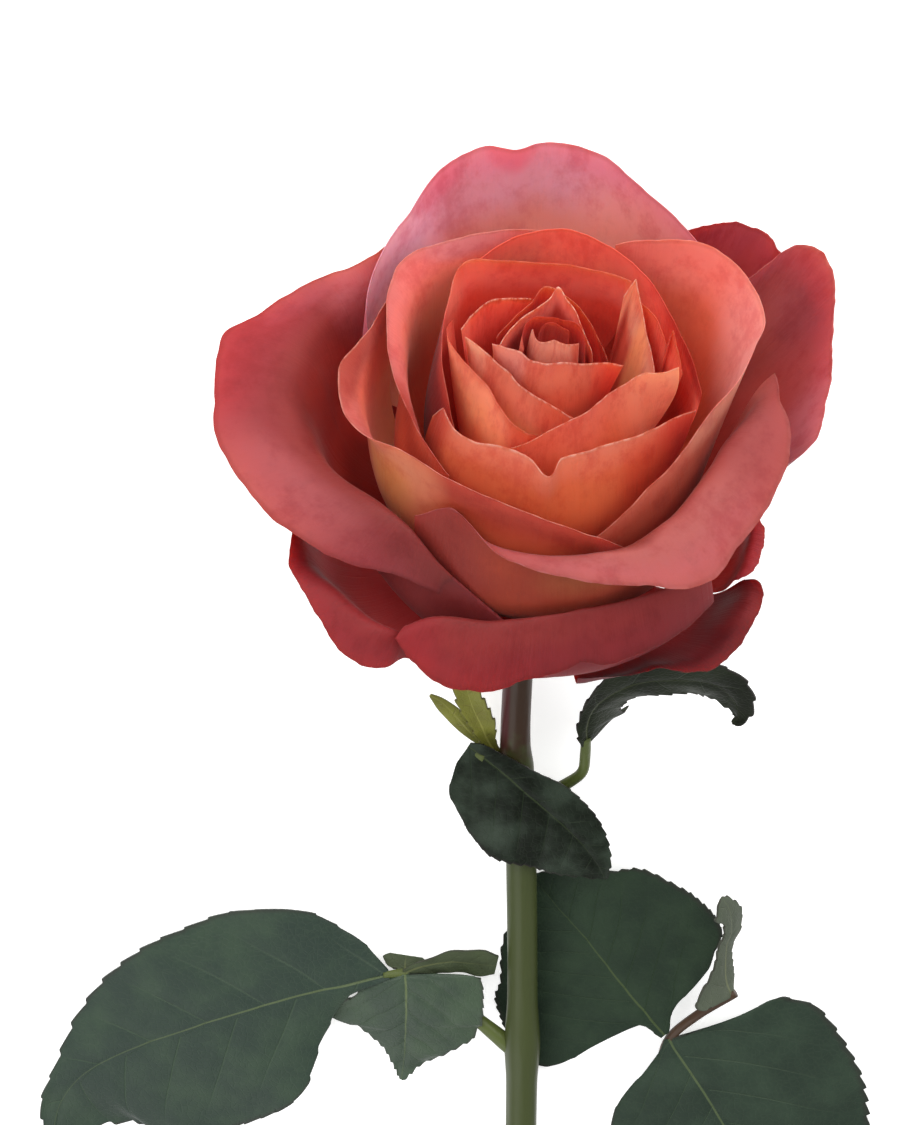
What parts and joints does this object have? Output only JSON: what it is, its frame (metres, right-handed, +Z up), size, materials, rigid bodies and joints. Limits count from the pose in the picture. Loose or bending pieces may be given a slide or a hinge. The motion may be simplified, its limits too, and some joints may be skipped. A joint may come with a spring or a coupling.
{
  "type": "cut rose",
  "caption": "Cut rose lying on its side: open bloom of layered rolled petals on a hip with sepals, short leafy stem with serrated leaflets and a plain cut end.",
  "frame": {"origin": "middle of the bottom of the lying flower's box, on the surface that it lies on", "axes": "+Y from the cut end of the stem towards the bloom, +Z up from the surface, +X to the flower's right as seen from above"},
  "size_m": [0.1545, 0.2918, 0.071],
  "materials": {
    "petal_heart": "soft matte, coral orange",
    "petal_inner": "soft matte, bright orange coral",
    "petal_cup": "soft matte, coral with pink rims",
    "petal_outer": "soft matte, dusty rose red",
    "stem": "satin green bark",
    "leaf": "satin dark green",
    "bract": "satin yellow green",
    "sepal": "matte green"
  },
  "bodies": {
    "root": {"bract_broad": "bract", "bract_slender": "bract", "leaf_arching": "leaf", "leaf_front": "leaf", "leaf_left": "leaf", "leaf_right": "leaf", "petal_back": "petal_outer", "petal_cup_1": "petal_cup", "petal_cup_2": "petal_cup", "petal_cup_3": "petal_cup", "petal_cup_4": "petal_cup", "petal_guard_back": "petal_outer", "petal_guard_left": "petal_outer", "petal_guard_right": "petal_outer", "petal_heart_1": "petal_heart", "petal_heart_2": "petal_heart", "petal_heart_3": "petal_heart", "petal_heart_4": "petal_heart", "petal_heart_5": "petal_heart", "petal_heart_6": "petal_heart", "petal_inner_1": "petal_inner", "petal_inner_2": "petal_inner", "petal_inner_3": "petal_inner", "petal_inner_4": "petal_inner", "petal_inner_5": "petal_inner", "petal_inner_6": "petal_inner", "petal_inner_7": "petal_inner", "petal_inner_8": "petal_inner", "petal_low_curled": "petal_outer", "petal_low_front": "petal_outer", "petal_low_left": "petal_outer", "petal_low_right": "petal_outer", "petal_rolled": "petal_outer", "sepal_1": "sepal", "sepal_2": "sepal", "sepal_3": "sepal", "sepal_4": "sepal", "sepal_5": "sepal", "stem": "stem"}
  },
  "joints": []
}
